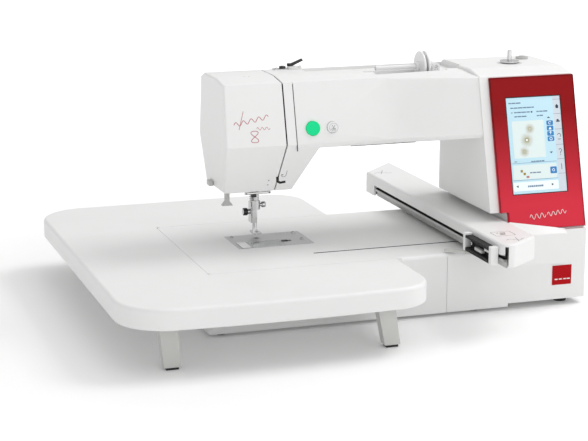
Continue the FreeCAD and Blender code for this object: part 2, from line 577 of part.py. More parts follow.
# ---------------------------------------------------------------- embroidery arm
def embroidery_arm():
    outline = [("unit_left", "unit_front"), ("unit_right", "unit_front_right"),
               ("unit_right", "unit_back"), ("unit_left", "unit_back_left")]
    room = [("unit_left + 3", "unit_front + 8"), ("unit_right - 3", "unit_front_right + 4"),
            ("unit_right - 3", "unit_back - 8"), ("unit_left + 3", "unit_back_left - 4")]
    block = prism("XY", outline, ("unit_low", "unit_top"))
    block = rounded(block, 10, upright_at((132, -250)))
    block = rounded(block, 8, upright_at((188, -208)))
    block = rounded(block, 3, outside("Z", 100, 120))
    window = box(("unit_left - 1", "unit_left + 4"), (-240, 181), ("unit_low - 1", 98.4))
    node(cut(block, prism("XY", room, ("unit_low - 1", "unit_top - 3")), window), "arm_housing")
    floor = [("unit_left + 6", "unit_front + 14"), ("unit_right - 4", "unit_front_right + 6"),
             ("unit_right - 4", "unit_back - 12"), ("unit_left + 6", "unit_back_left - 6")]
    lip = joined(box(("unit_left + 1", "unit_left + 6"), (-238, 179), (91, 94.2)),
                 box(("unit_left + 4", "unit_left + 6"), (-238, 179), ("unit_low", 94.2)))
    base = prism("XY", floor, ("unit_low", "unit_low + 2"))
    ends = [box((146, 158), span, ("unit_low + 2", "unit_top - 5")) for span in ((-222, -216), (176, 182))]
    rod_room = rod("Y", (152, 101), (-240, 190), 4)
    node(cut(joined(lip, base, *ends), rod_room), "arm_floor")
    blade = box((159, 181), ("rail_y - 1", "rail_y + 1"), ("rail_z + 6", "unit_low"))
    slider = cut(box((150, 188), ("rail_y - 20", "rail_y + 20"), ("rail_z - 7", "rail_z + 6")),
                 *[rod("X", (f"rail_y + {side}", "rail_z"), (140, 195), "rail_radius + running_gap")
                   for side in ("12", "0 - 12")])
    node(joined(blade, slider), "arm_bracket")
    guide_rod = rod("Y", (152, 101), (-222, 182), 4)
    motor = box((164, 182), (186, 214), ("unit_low + 2", "unit_top - 6"))
    node(group(guide_rod, motor), "carriage_drive")
    rails = [rod("X", (f"rail_y + {side}", "rail_z"), (-80, 196), "rail_radius")
             for side in ("12", "0 - 12")]
    end_plates = [cut(box(span, ("rail_y - 22", "rail_y + 22"), (low, "rail_z + 7")),
                      *[rod("X", (f"rail_y + {side}", "rail_z"), (-90, 200), "rail_radius")
                        for side in ("12", "0 - 12")])
                  for span, low in (((-80, -75), "pan_low + 2"), ((190, 196), "side_low + 2"))]
    node(group(*rails, *end_plates), "x_rails")
    node(box((255, 285), (-104, -72), ("side_low + 2", 52)), "x_motor")


def carriage():
    dock = cut(box(("dock_left", "unit_left - 0.6"), ("dock_front", "dock_back"),
                   ("dock_low", "dock_high")),
               box(("dock_left - 1", "unit_left - 3"), ("dock_front + 6", "dock_back - 6"),
                   ("dock_low + 4", "dock_high - 3")))
    neck = box(("unit_left - 2", 145), (-214, -158), (95, 97.6))
    slider = cut(box((144, 160), (-214, -158), (93, 107)),
                 rod("Y", (152, 101), (-240, 0), "4 + running_gap"))
    pin_hole = rod("Z", (126.5, -149), (80, 97), "2 + running_gap")
    node(cut(joined(dock, neck, slider), pin_hole), "hoop_carriage")
    lever = [(124, -151), (129.5, -152), (129.5, -144), (109, -124), (105, -127.5), (122, -145)]
    node(joined(prism("XY", lever, (80.6, 83.2)), rod("Z", (126.5, -149), (80.6, 96), 2)),
         "hoop_lever")


# ---------------------------------------------------------------- extension table
def table_outline(inset):
    """The table's outline as one closed wire: round corners and a front edge that bows out."""
    size = {key: DIMENSIONS[key] for key in DIMENSIONS if key.startswith(("table", "corner"))}
    left, right = size["table_left"] + inset, size["table_right"] - inset
    front, back = size["table_front"] + inset, size["table_back"] - inset
    wide, tight = size["corner_left"] - inset, size["corner_right"] - inset
    slant = math.sqrt(0.5)
    corners = [(left + wide, back - wide, wide, -1, 1), (right - tight, back - tight, tight, 1, 1),
               (right - tight, front + tight, tight, 1, -1), (left + wide, front + wide, wide, -1, -1)]
    ends = []
    for x, y, r, across, along in corners:
        start, stop = V(x + across * r, y, 0), V(x, y + along * r, 0)
        middle = V(x + across * r * slant, y + along * r * slant, 0)
        ends.append((start, middle, stop) if across == -along else (stop, middle, start))
    edges = []
    for i, (start, middle, stop) in enumerate(ends):
        edges.append(Part.Arc(start, middle, stop).toShape())
        following = ends[(i + 1) % 4][0]
        if i == 2:
            bow = V((stop.x + following.x) / 2, front - size["table_bow"], 0)
            edges.append(Part.Arc(stop, bow, following).toShape())
        else:
            edges.append(Part.LineSegment(stop, following).toShape())
    return Part.Face(Part.Wire(edges))


def extension_table():
    low, top = DIMENSIONS["table_low"], DIMENSIONS["bed_top"]
    skin, gap, rim = DIMENSIONS["table_skin"], DIMENSIONS["table_gap"], 5
    outer = table_outline(0).extrude(V(0, 0, top - low))
    outer = outer.makeFillet(4.5, [e for e in outer.Edges if e.BoundBox.ZMin > top - low - 1])
    outer = outer.makeFillet(3, [e for e in outer.Edges if e.BoundBox.ZMax < 1])
    room = table_outline(rim).extrude(V(0, 0, top - low - skin))
    bed_x, front, back = (DIMENSIONS[key] for key in ("bed_left", "bed_front", "bed_back"))
    reach = DIMENSIONS["table_right"] - bed_x + 20
    lining = Part.makeBox(reach, back - front + 2 * (gap + rim), top,
                          V(bed_x - gap - rim, front - gap - rim, 0))
    notch = Part.makeBox(reach, back - front + 2 * gap, top, V(bed_x - gap, front - gap, 0))
    shape = outer.cut(room.cut(lining)).cut(notch)
    shape.translate(V(0, 0, low))
    skin = doc.addObject("Part::Feature", "table")
    skin.Shape = shape
    cheeks = [box((x - 8, x + 8), span, ("leg_hinge - 5", "bed_top - table_skin"))
              for x, y, _ in LEGS.values() for span in ((y - 12, y - 7.5), (y + 7.5, y + 12))]
    holes = [rod("Y", (x, "leg_hinge"), (y - 13, y + 13), "2 + running_gap")
             for x, y, _ in LEGS.values()]
    node(cut(joined(skin, *cheeks), *holes), "extension_table")


# Hinge X, middle Y, and how far the foot stands to the right of the hinge.
LEGS = {"leg_front_left": (-271.5, -230, 4.5), "leg_front_right": (-13, -228, 9),
        "leg_back_left": (-271.5, 230, 4.5), "leg_back_right": (-13, 226, 9)}


def table_legs():
    """Tapered channel legs, open towards the middle of the table, each with a rubber pad."""
    for label, (x, y, reach) in LEGS.items():
        foot = x + reach
        outline = [(x - 8, "leg_hinge + 4"), (x + 8, "leg_hinge + 4"), (x + 11, "leg_hinge - 6"),
                   (foot + 9.5, 3), (foot - 9.5, 3), (x - 11, "leg_hinge - 6")]
        inside = [(x - 6, "leg_hinge + 5"), (x + 6, "leg_hinge + 5"), (x + 8.5, "leg_hinge - 6"),
                  (foot + 7, 5.5), (foot - 7, 5.5), (x - 8.5, "leg_hinge - 6")]
        room = (y - 4.5, y + 8) if y < 0 else (y - 8, y + 4.5)
        channel = cut(prism("XZ", outline, (y - 7, y + 7)), prism("XZ", inside, room))
        pin = rod("Y", (x, "leg_hinge"), (y - 11.8, y + 11.8), 2)
        pad = box((foot - 7, foot + 7), (y - 6, y + 6), (0, 3))
        node(group(joined(channel, pin), pad), label)


# ---------------------------------------------------------------- build, check and write
lower_casing()
base_pan()
rubber_feet()
upper_casing()
control_panel()
console_cover()
stitch_plate()
hook_and_bobbin()
needle_group()
presser_group()
thread_parts()
inner_frame()
main_drive()
controls()
spool_and_winder()
embroidery_arm()
carriage()
extension_table()
table_legs()
doc.recompute()

for item in doc.Objects:
    if {"Invalid", "Error"} & set(item.State):
        raise RuntimeError(f"{item.Label} ({item.Name}) did not build: {item.State}")
os.makedirs("parts", exist_ok=True)
for piece in NODES:
    if piece.Shape.isNull() or not piece.Shape.isValid():
        raise RuntimeError(f"{piece.Label} has no valid shape")
    piece.Shape.exportStep(f"parts/{piece.Label}.step")
    limits = piece.Shape.optimalBoundingBox()
    print(f"{piece.Label:18} {len(piece.Shape.Solids)} solid(s) {piece.Shape.Volume / 1000:9.2f} cm3"
          f"  X {limits.XMin:7.1f} {limits.XMax:7.1f}  Y {limits.YMin:7.1f} {limits.YMax:7.1f}"
          f"  Z {limits.ZMin:6.1f} {limits.ZMax:6.1f}")
print(len(NODES), "sub-parts")
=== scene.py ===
"""Looks of the embroidery machine: materials, screen, markings and small fittings on the CAD frame.

Sizes in this file are millimetres unless a name says otherwise; MM turns them into metres.
"""

import math

import bmesh
import bpy
from mathutils import Matrix, Vector


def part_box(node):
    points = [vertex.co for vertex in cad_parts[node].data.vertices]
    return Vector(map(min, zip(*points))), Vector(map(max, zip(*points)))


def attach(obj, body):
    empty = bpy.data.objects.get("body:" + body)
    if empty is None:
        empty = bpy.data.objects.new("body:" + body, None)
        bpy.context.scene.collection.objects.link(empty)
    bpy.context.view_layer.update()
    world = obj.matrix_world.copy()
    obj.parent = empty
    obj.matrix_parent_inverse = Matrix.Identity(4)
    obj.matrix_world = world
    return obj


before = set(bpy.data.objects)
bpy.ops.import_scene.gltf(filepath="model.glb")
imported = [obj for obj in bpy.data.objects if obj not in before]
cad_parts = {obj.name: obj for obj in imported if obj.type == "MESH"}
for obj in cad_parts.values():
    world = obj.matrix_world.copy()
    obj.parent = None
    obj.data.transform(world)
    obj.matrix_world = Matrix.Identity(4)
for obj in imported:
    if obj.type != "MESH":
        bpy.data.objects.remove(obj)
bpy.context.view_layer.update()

MM = 0.001

# The machine's main faces. The panel and the upper head lean back; below its crease the head
# is undercut. The needle is the centre of the stitching area.
PANEL_TILT = math.radians(14.8)
PANEL_UP = (0, math.sin(PANEL_TILT), math.cos(PANEL_TILT))
HEAD_TILT = math.radians(14.9)
HEAD_UP = (0, math.sin(HEAD_TILT), math.cos(HEAD_TILT))
HEAD_UNDERCUT = math.radians(24.3)
UNDERCUT_UP = (0, -math.sin(HEAD_UNDERCUT), math.cos(HEAD_UNDERCUT))
CREASE_Z = 211.0
HEAD_TOP_Z = 288.5
WINDER_TOP_Z = 291.5
BED_TOP_Z = 78.3
COLUMN_SIDE_X = 295.0
COLUMN_BACK_Y = 59.0
NEEDLE_X, NEEDLE_Y = -90, 18


# ---------------------------------------------------------------- materials
CLOUD_SCALE = 14.0            # noise scale of the slow changes of colour and gloss
SCUFF = 0.05                  # how far the roughness wanders either way
RELIEF_DEPTH = 0.1 * MM
FADE_FROM, FADE_TO = 0.13, 0.24    # metres above the table between which the darker top colour of a painted reflection blends in


def set_inputs(node, values):
    """Sets a shader node's inputs by name, with _ for a space."""
    for key, value in values.items():
        node.inputs[key.replace("_", " ")].default_value = value


def node_of(tree, kind, **values):
    """Adds a shader node and sets its inputs."""
    made = tree.nodes.new(kind)
    set_inputs(made, values)
    return made


def blend_painted_reflection(tree, place, paint, painted_reflection_colour):
    """Blends a colour into a second one with height: a painted reflection, darker higher up."""
    split = tree.nodes.new("ShaderNodeSeparateXYZ")
    tree.links.new(place.outputs["Object"], split.inputs["Vector"])
    height = node_of(tree, "ShaderNodeMapRange", From_Min=FADE_FROM, From_Max=FADE_TO)
    tree.links.new(split.outputs["Z"], height.inputs["Value"])
    blend = node_of(tree, "ShaderNodeMixRGB", Color2=[*painted_reflection_colour, 1])
    tree.links.new(height.outputs["Result"], blend.inputs["Fac"])
    tree.links.new(paint, blend.inputs["Color1"])
    return blend.outputs["Color"]


def surface(name, colour, roughness, grain=1400.0, bump=0.08, mottle=0.03, stretch=(1, 1, 1),
            painted_reflection_colour=None, **shader_values):
    """A procedural finish: cloudy colour, uneven gloss, a fine moulded or brushed grain, and where
    given a painted reflection that darkens upwards.
    """
    material = bpy.data.materials.new(name)
    material.use_nodes = True
    tree = material.node_tree
    shader = tree.nodes["Principled BSDF"]
    set_inputs(shader, shader_values)
    place = tree.nodes.new("ShaderNodeTexCoord")
    mapping = node_of(tree, "ShaderNodeMapping", Scale=stretch)
    tree.links.new(place.outputs["Object"], mapping.inputs["Vector"])
    cloud = node_of(tree, "ShaderNodeTexNoise", Scale=CLOUD_SCALE, Detail=4.0)
    fine = node_of(tree, "ShaderNodeTexNoise", Scale=grain, Detail=2.0)
    tree.links.new(place.outputs["Object"], cloud.inputs["Vector"])
    tree.links.new(mapping.outputs["Vector"], fine.inputs["Vector"])

    ramp = tree.nodes.new("ShaderNodeValToRGB")
    dark, light = ramp.color_ramp.elements
    dark.position, light.position = 0.3, 0.7
    dark.color = [c * (1 - mottle) for c in colour] + [1]
    light.color = [min(1, c * (1 + mottle)) for c in colour] + [1]
    tree.links.new(cloud.outputs["Fac"], ramp.inputs["Fac"])
    paint = ramp.outputs["Color"]
    # painted reflection: a darker colour blends in higher up, where the gloss mirrors darker
    # surroundings
    if painted_reflection_colour:
        paint = blend_painted_reflection(tree, place, paint, painted_reflection_colour)
    tree.links.new(paint, shader.inputs["Base Color"])

    gloss = node_of(tree, "ShaderNodeMapRange", To_Min=max(0.02, roughness - SCUFF),
                    To_Max=min(1.0, roughness + SCUFF))
    tree.links.new(cloud.outputs["Fac"], gloss.inputs["Value"])
    tree.links.new(gloss.outputs["Result"], shader.inputs["Roughness"])
    relief = node_of(tree, "ShaderNodeBump", Strength=bump, Distance=RELIEF_DEPTH)
    tree.links.new(fine.outputs["Fac"], relief.inputs["Height"])
    tree.links.new(relief.outputs["Normal"], shader.inputs["Normal"])
    return material


def lit(name, colour, strength):
    """A lit screen colour, with the faint unevenness of a backlight."""
    return surface(name, colour, 0.25, grain=600.0, bump=0.01, mottle=0.015,
                   Specular_IOR_Level=0.15, Emission_Color=(*colour, 1), Emission_Strength=strength)


WHITE = surface("white_plastic", (0.80, 0.80, 0.795), 0.42, mottle=0.012, bump=0.06)
WHITE_GLOSS = surface("white_gloss", (0.82, 0.82, 0.82), 0.2, mottle=0.01, bump=0.02)
GREY = surface("grey_plastic", (0.52, 0.52, 0.51), 0.45)
CHANNEL = surface("leg_grey", (0.58, 0.58, 0.56), 0.4)
# The red panel's darker top is a painted reflection of darker surroundings, not a second paint.
RED = surface("red_gloss", (0.66, 0.03, 0.055), 0.22, grain=500.0, bump=0.01,
              painted_reflection_colour=(0.27, 0.002, 0.004), Specular_IOR_Level=0.12)
BEZEL_EDGE = surface("panel_edge", (0.09, 0.002, 0.004), 0.4, mottle=0.1, Specular_IOR_Level=0.1)
BADGE = surface("badge_red", (0.42, 0.002, 0.006), 0.3, bump=0.03, Specular_IOR_Level=0.1)
GREEN = surface("green_gloss", (0.0, 0.55, 0.2), 0.25, mottle=0.08, bump=0.02, Specular_IOR_Level=0.2,
                Emission_Color=(0.0, 0.7, 0.3, 1), Emission_Strength=0.25)
BLACK = surface("black_plastic", (0.018, 0.018, 0.018), 0.4, mottle=0.2)
# DARK is real black trim on a few parts and painted shade in slots, gaps, grooves, vents and screw
# recesses.
DARK = surface("black_trim_and_painted_shade", (0.006, 0.006, 0.006), 0.7, mottle=0.2)
RUBBER = surface("rubber", (0.02, 0.02, 0.02), 0.8, grain=2600.0, bump=0.3, mottle=0.2)
PLATE = surface("plate_steel", (0.52, 0.52, 0.525), 0.36, grain=900.0, stretch=(0.05, 1, 1),
                bump=0.25, mottle=0.05, Metallic=0.85)
STEEL = surface("bright_steel", (0.62, 0.62, 0.62), 0.2, grain=700.0, stretch=(1, 1, 0.1),
                mottle=0.04, Metallic=1.0)
CAST = surface("cast_frame", (0.4, 0.4, 0.41), 0.5, grain=700.0, bump=0.4, Metallic=0.8)
MOTOR = surface("motor_case", (0.05, 0.05, 0.055), 0.45, mottle=0.1, Metallic=0.4)
CLEAR = surface("clear_plastic", (0.9, 0.92, 0.93), 0.08, mottle=0.01, bump=0.01,
                Transmission_Weight=0.8, IOR=1.45)
LENS = surface("lamp_lens", (0.9, 0.9, 0.86), 0.3, mottle=0.02, Emission_Color=(1, 0.97, 0.9, 1),
               Emission_Strength=0.6)
BOARD = surface("board_green", (0.01, 0.12, 0.05), 0.4, grain=300.0, bump=0.2, mottle=0.3)
PRINT_GREY = surface("print_grey", (0.16, 0.16, 0.17), 0.5, mottle=0.1)
PRINT_RED = surface("print_red", (0.42, 0.07, 0.09), 0.5, mottle=0.1)
SCREEN = lit("screen_back", (0.52, 0.74, 0.84), 0.08)
SCREEN_PALE = lit("screen_pale", (0.70, 0.80, 0.79), 0.08)
SCREEN_GREY = lit("screen_grey", (0.60, 0.66, 0.72), 0.08)
SCREEN_BLUE = lit("screen_blue", (0.05, 0.22, 0.50), 0.08)
SCREEN_INK = lit("screen_ink", (0.03, 0.045, 0.08), 0.05)
SCREEN_SOFT = lit("screen_soft", (0.14, 0.22, 0.33), 0.05)
SCREEN_GOLD = lit("screen_gold", (0.30, 0.22, 0.03), 0.05)
SCREEN_ROSE = lit("screen_rose", (0.45, 0.17, 0.15), 0.05)
SCREEN_WHITE = lit("screen_white", (0.82, 0.90, 0.92), 0.1)

NODE_MATERIALS = {
    WHITE: "base_shell face_cover front_casing rear_casing console_cover arm_housing "
           "extension_table top_guide",
    WHITE_GLOSS: "handwheel spool_holder cutter_button spool_pin spool_tray",
    GREY: "base_pan bobbin_holder arm_floor winder_arm winder_stopper needle_threader "
          "presser_lifter thread_cutter",
    CHANNEL: "leg_front_left leg_front_right leg_back_left leg_back_right hoop_lever",
    RED: "panel_bezel",
    GREEN: "start_button",
    SCREEN: "touch_screen",
    CLEAR: "hook_cover bobbin",
    BLACK: "cover_release power_inlet usb_ports power_switch shaft_pulley guide_lever",
    PLATE: "stitch_plate",
    STEEL: "needle_bar needle_clamp needle presser_bar embroidery_foot take_up_lever "
           "tension_unit main_shaft rotary_hook carriage_drive x_rails arm_bracket "
           "motor_pulley winder_spindle",
    CAST: "inner_frame",
    MOTOR: "main_motor x_motor",
    RUBBER: "rubber_feet drive_belt",
    LENS: "work_lamp",
    BOARD: "main_board",
    DARK: "hoop_carriage",
}
EDGE_RADIUS = {
    "base_shell": 1.2, "face_cover": 0.5, "front_casing": 0.5, "rear_casing": 0.5,
    "console_cover": 0.5, "arm_housing": 0.5, "extension_table": 0.4, "panel_bezel": 0.7,
    "hoop_carriage": 0.5, "handwheel": 1.2, "spool_holder": 0.8, "start_button": 0.9,
    "cutter_button": 0.8, "leg_front_left": 0.6, "leg_front_right": 0.6, "leg_back_left": 0.6,
    "leg_back_right": 0.6, "hoop_lever": 0.5, "embroidery_foot": 0.4, "needle_clamp": 0.5,
    "winder_spindle": 0.5, "winder_stopper": 1.0, "needle_threader": 0.4, "spool_tray": 0.5,
    "stitch_plate": 0.2, "rubber_feet": 0.8, "presser_lifter": 0.8, "thread_cutter": 0.8,
    "top_guide": 0.6, "guide_lever": 0.4, "hook_cover": 0.3, "power_inlet": 0.4,
}
WELD_GAP = 0.002
EDGE_ANGLE = math.radians(40)
EDGE_SEGMENTS = 3


def finish_node(name, material):
    """Gives a CAD node its finish, and breaks its sharp edges."""
    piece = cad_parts[name]
    piece.data.materials.clear()
    piece.data.materials.append(material)
    piece.data.polygons.foreach_set("use_smooth", [True] * len(piece.data.polygons))
    weld = piece.modifiers.new("weld", "WELD")
    weld.merge_threshold = WELD_GAP * MM
    if name in EDGE_RADIUS:
        edge = piece.modifiers.new("edges", "BEVEL")
        edge.width = EDGE_RADIUS[name] * MM
        edge.segments = EDGE_SEGMENTS
        edge.limit_method = "ANGLE"
        edge.angle_limit = EDGE_ANGLE
        edge.harden_normals = True
    normals = piece.modifiers.new("normals", "WEIGHTED_NORMAL")
    normals.keep_sharp = True


for material, names in NODE_MATERIALS.items():
    for name in names.split():
        finish_node(name, material)


# ---------------------------------------------------------------- faces and outlines
class Face:
    """A flat face: an origin, two directions along it and its outward normal, in millimetres."""

    def __init__(self, origin, along, up):
        self.origin = Vector(origin)
        self.along = Vector(along).normalized()
        self.up = Vector(up).normalized()
        self.out = self.along.cross(self.up)

    def at(self, u, v, lift=0.0):
        """The place, in metres, of a point on the face or above it."""
        return (self.origin + self.along * u + self.up * v + self.out * lift) * MM


# faces square to the machine's axes
def facing_up(z):
    return Face((0, 0, z), (1, 0, 0), (0, 1, 0))


def facing_down(z):
    return Face((0, 0, z), (-1, 0, 0), (0, 1, 0))


def facing_front(y):
    return Face((0, y, 0), (1, 0, 0), (0, 0, 1))


def facing_back(y):
    return Face((0, y, 0), (-1, 0, 0), (0, 0, 1))


def facing_left(x):
    return Face((x, 0, 0), (0, -1, 0), (0, 0, 1))


def facing_right(x):
    return Face((x, 0, 0), (0, 1, 0), (0, 0, 1))


CORNER_STEPS = 6


def polar(u, v, radius, angle):
    """The point at an angle, in radians, on a circle."""
    return (u + radius * math.cos(angle), v + radius * math.sin(angle))


def arc(u, v, radius, start, stop, count):
    """Points of an arc between two angles in degrees."""
    steps = [math.radians(start + (stop - start) * i / count) for i in range(count + 1)]
    return [polar(u, v, radius, angle) for angle in steps]


def disc(u, v, radius, count=24):
    """The outline of a round dot."""
    return arc(u, v, radius, 0, 360 - 360 / count, count - 1)


def rect(u0, v0, u1, v1, radius=0.0):
    """The outline of a rectangle, with rounded corners where a radius is given."""
    if not radius:
        return [(u0, v0), (u1, v0), (u1, v1), (u0, v1)]
    corners = [(u1 - radius, v0 + radius, -90), (u1 - radius, v1 - radius, 0),
               (u0 + radius, v1 - radius, 90), (u0 + radius, v0 + radius, 180)]
    return [point for u, v, start in corners
            for point in arc(u, v, radius, start, start + 90, CORNER_STEPS)]


def ribbon(points, width, closed=False):
    """Quads of a stroke of even width along a line."""
    ways = [Vector(p) for p in points]
    count = len(ways)
    sides = []
    for i, point in enumerate(ways):
        before = ways[(i - 1) % count] if closed or i else point
        after = ways[(i + 1) % count] if closed or i < count - 1 else point
        heading = (after - before).normalized()
        side = Vector((-heading.y, heading.x)) * width / 2
        sides.append((tuple(point + side), tuple(point - side)))
    last = count if closed else count - 1
    return [[sides[i][1], sides[(i + 1) % count][1], sides[(i + 1) % count][0], sides[i][0]]
            for i in range(last)]


def ring(u, v, radius, width, count=32):
    """Quads of a circular stroke."""
    return ribbon(disc(u, v, radius, count), width, closed=True)


def wave(u, v, length, height, turns, rise=0.0):
    """Points of a smooth wavy line."""
    count = int(turns * 12)
    return [(u + length * i / count,
             v + rise * i / count + height * math.sin(2 * math.pi * turns * i / count))
            for i in range(count + 1)]


def knot(u, v, wide, tall, count=60):
    """Points of a closed bow of thread."""
    angles = [2 * math.pi * i / count for i in range(count)]
    return [(u + wide * math.sin(2 * a), v + tall * math.cos(a)) for a in angles]


# ---------------------------------------------------------------- pieces
ROOT = 0.1                    # how far a mark or a screw reaches into what it sits on
SHARP_ANGLE = math.radians(35)


def finished(name, mesh, material, body, smooth=True):
    """Turns a bmesh into a piece that rides on a body."""
    bmesh.ops.recalc_face_normals(mesh, faces=mesh.faces)
    data = bpy.data.meshes.new(name)
    mesh.to_mesh(data)
    mesh.free()
    if smooth:
        data.polygons.foreach_set("use_smooth", [True] * len(data.polygons))
        data.set_sharp_from_angle(angle=SHARP_ANGLE)
    piece = bpy.data.objects.new(name, data)
    bpy.context.scene.collection.objects.link(piece)
    data.materials.append(material)
    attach(piece, body)


def shapes(name, face, outlines, material, body="machine", lift=0.0, thick=0.15):
    """Thin raised or inlaid shapes on a face, all in one piece."""
    mesh = bmesh.new()
    for outline in outlines:
        top = [mesh.verts.new(face.at(u, v, lift + thick)) for u, v in outline]
        low = [mesh.verts.new(face.at(u, v, lift - ROOT)) for u, v in outline]
        mesh.faces.new(top)
        mesh.faces.new(low[::-1])
        for i in range(len(outline)):
            j = (i + 1) % len(outline)
            mesh.faces.new((low[i], low[j], top[j], top[i]))
    finished(name, mesh, material, body, smooth=False)


def lathe(name, centre, axis, profile, material, body="machine", count=40):
    """A turned piece: (radius, height) pairs round an axis."""
    turn = Vector((0, 0, 1)).rotation_difference(Vector(axis)).to_matrix().to_4x4()
    move = Matrix.Translation(Vector(centre) * MM) @ turn
    angles = [2 * math.pi * i / count for i in range(count)]
    mesh = bmesh.new()
    rings = []
    for radius, height in profile:
        circle = [Vector((radius * math.cos(a), radius * math.sin(a), height)) * MM for a in angles]
        rings.append([mesh.verts.new(move @ point) for point in circle])
    for low, high in zip(rings, rings[1:]):
        for i in range(count):
            j = (i + 1) % count
            mesh.faces.new((low[i], low[j], high[j], high[i]))
    mesh.faces.new(rings[0][::-1])
    mesh.faces.new(rings[-1])
    finished(name, mesh, material, body)


def block(name, low, high, radius, material, body="machine"):
    """A moulded block with rounded edges."""
    mesh = bmesh.new()
    bmesh.ops.create_cube(mesh, size=1.0)
    size = Vector(high) - Vector(low)
    middle = (Vector(high) + Vector(low)) / 2
    for vertex in mesh.verts:
        vertex.co = Vector(c * s + m for c, s, m in zip(vertex.co, size, middle)) * MM
    bmesh.ops.bevel(mesh, geom=mesh.edges[:], offset=radius * MM, segments=3, affect="EDGES",
                    profile=0.5)
    finished(name, mesh, material, body)


def screw(name, centre, axis, radius, body="machine", material=STEEL):
    """A pan-head screw with a cross recess, in proportion to its radius."""
    profile = [(radius, -ROOT), (radius, 0.25 * radius),
               (0.72 * radius, 0.5 * radius), (0.3 * radius, 0.58 * radius)]
    lathe(name, centre, axis, profile, material, body, count=24)
    out = Vector(axis).normalized()
    side = out.orthogonal().normalized()
    cross = Face(Vector(centre) + out * 0.5 * radius, side, out.cross(side))
    reach, half = 0.55 * radius, 0.12 * radius
    slots = [rect(-reach, -half, reach, half), rect(-half, -reach, half, reach)]
    # The cross recess is a dark inlay: painted shade inside the recess.
    shapes(name + "_recess", cross, slots, DARK, body, thick=0.12 * radius)


def spring(name, centre, radius, low, high, turns, wire, body, steps=16):
    """A coil spring as a swept wire."""
    curve = bpy.data.curves.new(name, "CURVE")
    curve.dimensions = "3D"
    curve.bevel_depth = wire * MM
    curve.bevel_resolution = 3
    line = curve.splines.new("POLY")
    count = turns * steps
    line.points.add(count)
    for i in range(count + 1):
        x, y = polar(*centre, radius, 2 * math.pi * i / steps)
        point = Vector((x, y, low + (high - low) * i / count)) * MM
        line.points[i].co = (*point, 1)
    piece = bpy.data.objects.new(name, curve)
    curve.materials.append(STEEL)
    bpy.context.scene.collection.objects.link(piece)
    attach(piece, body)


def mm_box(node):
    """A CAD node's corners, in millimetres."""
    low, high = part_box(node)
    return low / MM, high / MM


# ---------------------------------------------------------------- the touch screen's picture
SCREEN_DEPTH = 3.4
screen_low, screen_high = mm_box("touch_screen")
screen_foot = (screen_low.x, screen_low.y, screen_low.z + SCREEN_DEPTH * math.sin(PANEL_TILT))
screen = Face(screen_foot, (1, 0, 0), PANEL_UP)
SCREEN_W = screen_high.x - screen_low.x
SCREEN_H = (screen_high.z - screen.origin.z) / math.cos(PANEL_TILT)

# Places on the screen are shares of its width and height. Small sizes stay in millimetres.
COLUMN_LEFT = 0.86 * SCREEN_W
ICON_MIDDLE = 0.93 * SCREEN_W
STROKE = 0.6
RULE = 0.35
BUTTON_CORNER = 1.2
# (across, up, bars, bar width) of each row of bars
TEXT_ROWS = (
    (0.05, 0.935, 3, 5), (0.08, 0.885, 6, 5), (0.14, 0.838, 4, 5), (0.55, 0.838, 3, 4.5),
    (0.14, 0.795, 3, 5), (0.55, 0.795, 2, 4.5), (0.38, 0.325, 5, 3), (0.34, 0.21, 3, 4.5),
)
ARROWS = (
    ((0.73, 0.77), (0.79, 0.77), (0.76, 0.785)),
    ((0.73, 0.42), (0.76, 0.405), (0.79, 0.42)),
    ((0.11, 0.07), (0.11, 0.095), (0.07, 0.0825)),
    ((0.72, 0.07), (0.76, 0.0825), (0.72, 0.095)),
)
# (across, up, radius, petals) of each stitched flower
FLOWERS = ((0.40, 0.67, 5.8, 14), (0.33, 0.555, 8.2, 18), (0.27, 0.435, 5.8, 14))


def spot(u, v):
    """A point on the screen, from shares of its width and height."""
    return (u * SCREEN_W, v * SCREEN_H)


def pane(u0, v0, u1, v1, radius=0.0):
    """A rectangle on the screen, from shares of its width and height."""
    return rect(*spot(u0, v0), *spot(u1, v1), radius)


def dashes(u, v, count, width, gap=0.7, height=1.4):
    """A row of short bars of uneven length that stands for a line of text."""
    widths = [width * (0.7 + 0.6 * ((i * 7) % 5) / 4) for i in range(count)]
    places = [u + sum(widths[:i]) + gap * i for i in range(count)]
    return [rect(p, v, p + w, v + height) for p, w in zip(places, widths)]


def draw_panels():
    """The plain areas behind the screen's text and pictures."""
    column = rect(COLUMN_LEFT, 0.5, SCREEN_W - 0.5, SCREEN_H - 0.5)
    shapes("screen_column", screen, [column], SCREEN_GREY, thick=0.05)
    lower_bar = rect(1.5, 4, COLUMN_LEFT - 1, 15, 1)
    shapes("screen_lower_bar", screen, [lower_bar], SCREEN_WHITE, thick=0.1)
    previews = [pane(0.08, 0.37, 0.66, 0.755, 1), pane(0.04, 0.15, 0.83, 0.30, 1)]
    shapes("screen_preview", screen, previews, SCREEN_PALE, thick=0.1)


def draw_labels():
    """Rows of bars for the text, and the thin rules between the areas."""
    labels = []
    for u, v, count, width in TEXT_ROWS:
        labels += dashes(*spot(u, v), count, width)
    labels += dashes(*spot(0.28, 0.068), 8, 2.2, gap=0.5, height=2.2)
    for v in (0.32, 0.145):
        height = v * SCREEN_H
        labels += ribbon([(1.5, height), (COLUMN_LEFT - 1, height)], RULE)
    for v in (0.19, 0.34, 0.49, 0.65, 0.81, 0.96):
        height = v * SCREEN_H
        labels += ribbon([(COLUMN_LEFT, height), (SCREEN_W - 0.5, height)], RULE)
    shapes("screen_labels", screen, labels, SCREEN_SOFT, thick=0.14)


